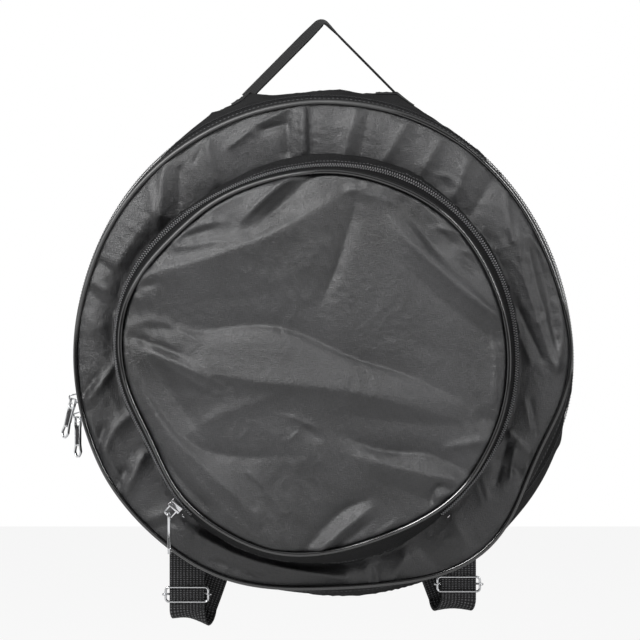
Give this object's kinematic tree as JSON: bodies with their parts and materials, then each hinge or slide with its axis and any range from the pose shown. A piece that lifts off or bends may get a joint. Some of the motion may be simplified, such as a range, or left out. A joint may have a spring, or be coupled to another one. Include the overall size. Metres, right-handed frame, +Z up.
{
  "type": "snare drum bag",
  "caption": "Soft round padded drum bag with a zipped front cover, a zipped round front pocket, a webbing carry handle and backpack straps.",
  "frame": {"origin": "the hook's contact point, at the middle of the underside of the carry handle's fold", "axes": "+Z up, the front pocket faces -Y, +X to the right as the front is seen"},
  "size_m": [0.4146, 0.2375, 0.506],
  "materials": {
    "nylon": "satin",
    "lining": "matte",
    "foam": "matte",
    "piping": "satin",
    "tape": "matte",
    "coil": "gloss",
    "webbing": "matte",
    "metal": "polished",
    "insert": "satin"
  },
  "bodies": {
    "bag": {"rear_panel": "nylon", "rear_panel_foam": "foam", "rear_panel_lining": "lining", "rear_piping": "piping", "rear_band": "nylon", "rear_band_foam": "foam", "rear_band_lining": "lining", "zip_tape_rear": "tape", "zip_coil_rear": "coil", "hinge_band_rear": "nylon", "zip_stop_left": "metal", "zip_stop_right": "metal", "handle_root_left": "webbing", "handle_root_right": "webbing", "strap_root_left": "webbing", "strap_root_right": "webbing", "strap_tab_left": "webbing", "strap_tab_right": "webbing"},
    "lid": {"front_panel": "nylon", "front_panel_foam": "foam", "front_panel_lining": "lining", "front_piping": "piping", "front_band": "nylon", "front_band_foam": "foam", "zip_tape_front": "tape", "zip_coil_front": "coil", "hinge_band_front": "nylon", "pocket_rear_band": "nylon", "pocket_zip_tape_rear": "tape", "pocket_zip_coil_rear": "coil", "pocket_hinge_band_rear": "nylon", "pocket_zip_stop_left": "metal", "pocket_zip_stop_right": "metal"},
    "pocket_flap": {"pocket_panel": "nylon", "pocket_piping": "piping", "pocket_front_band": "nylon", "pocket_zip_tape_front": "tape", "pocket_zip_coil_front": "coil", "pocket_hinge_band_front": "nylon"},
    "handle": {"handle_webbing": "webbing"},
    "upper_slider": {"upper_slider": "metal"},
    "upper_pull": {"upper_pull": "metal", "upper_pull_insert": "insert"},
    "lower_slider": {"lower_slider": "metal"},
    "lower_pull": {"lower_pull": "metal", "lower_pull_insert": "insert"},
    "pocket_slider": {"pocket_slider": "metal"},
    "pocket_pull": {"pocket_pull": "metal", "pocket_pull_insert": "insert"},
    "strap_left": {"strap_webbing_left": "webbing"},
    "strap_right": {"strap_webbing_right": "webbing"},
    "adjuster_left": {"adjuster_frame_left": "metal"},
    "adjuster_right": {"adjuster_frame_right": "metal"},
    "bar_left": {"adjuster_bar_left": "metal"},
    "bar_right": {"adjuster_bar_right": "metal"}
  },
  "joints": [
    {"name": "lid", "type": "hinge", "parent": "bag", "child": "lid", "pos_m": [0, -0.0585, -0.464], "axis": [1, 0, 0], "range_deg": [0, 100]},
    {"name": "pocket_flap", "type": "hinge", "parent": "lid", "child": "pocket_flap", "pos_m": [-0.0056, -0.106, -0.4352], "axis": [1, 0, 0], "range_deg": [0, 70]},
    {"name": "handle", "type": "hinge", "parent": "bag", "child": "handle", "pos_m": [0, 0, -0.05109], "axis": [1, 0, 0], "range_deg": [-75, 75]},
    {"name": "upper_slider", "type": "hinge", "parent": "bag", "child": "upper_slider", "pos_m": [0, -0.0585, -0.264], "axis": [0, -1, 0], "range_deg": [-242, 0]},
    {"name": "lower_slider", "type": "hinge", "parent": "bag", "child": "lower_slider", "pos_m": [0, -0.0585, -0.264], "axis": [0, -1, 0], "range_deg": [0, 38]},
    {"name": "pocket_slider", "type": "hinge", "parent": "lid", "child": "pocket_slider", "pos_m": [-0.0056, -0.106, -0.2752], "axis": [0, -1, 0], "range_deg": [-272, 0]},
    {"name": "upper_pull", "type": "hinge", "parent": "upper_slider", "child": "upper_pull", "pos_m": [-0.20124, -0.0585, -0.30677], "axis": [0, 1, 0], "range_deg": [0, 140]},
    {"name": "lower_pull", "type": "hinge", "parent": "lower_slider", "child": "lower_pull", "pos_m": [-0.19756, -0.0585, -0.3214], "axis": [0, 1, 0], "range_deg": [-8, 22]},
    {"name": "pocket_pull", "type": "hinge", "parent": "pocket_slider", "child": "pocket_pull", "pos_m": [-0.12128, -0.106, -0.39499], "axis": [0, 1, 0], "range_deg": [-36, 115]},
    {"name": "strap_left", "type": "hinge", "parent": "bag", "child": "strap_left", "pos_m": [-0.117, 0.08, -0.44248], "axis": [0.2202, 0.0427, 0.9745], "range_deg": [0, 35]},
    {"name": "strap_right", "type": "hinge", "parent": "bag", "child": "strap_right", "pos_m": [0.117, 0.08, -0.44248], "axis": [0.2202, -0.0427, -0.9745], "range_deg": [0, 35]},
    {"name": "adjuster_left", "type": "slide", "parent": "strap_left", "child": "adjuster_left", "axis": [0, 0, 1], "range_m": [-0.003, 0.014]},
    {"name": "adjuster_right", "type": "slide", "parent": "strap_right", "child": "adjuster_right", "axis": [0, 0, 1], "range_m": [-0.003, 0.006]},
    {"name": "bar_left", "type": "slide", "parent": "adjuster_left", "child": "bar_left", "axis": [0, 0, 1], "range_m": [-0.002, 0.002]},
    {"name": "bar_right", "type": "slide", "parent": "adjuster_right", "child": "bar_right", "axis": [0, 0, 1], "range_m": [-0.002, 0.002]}
  ]
}
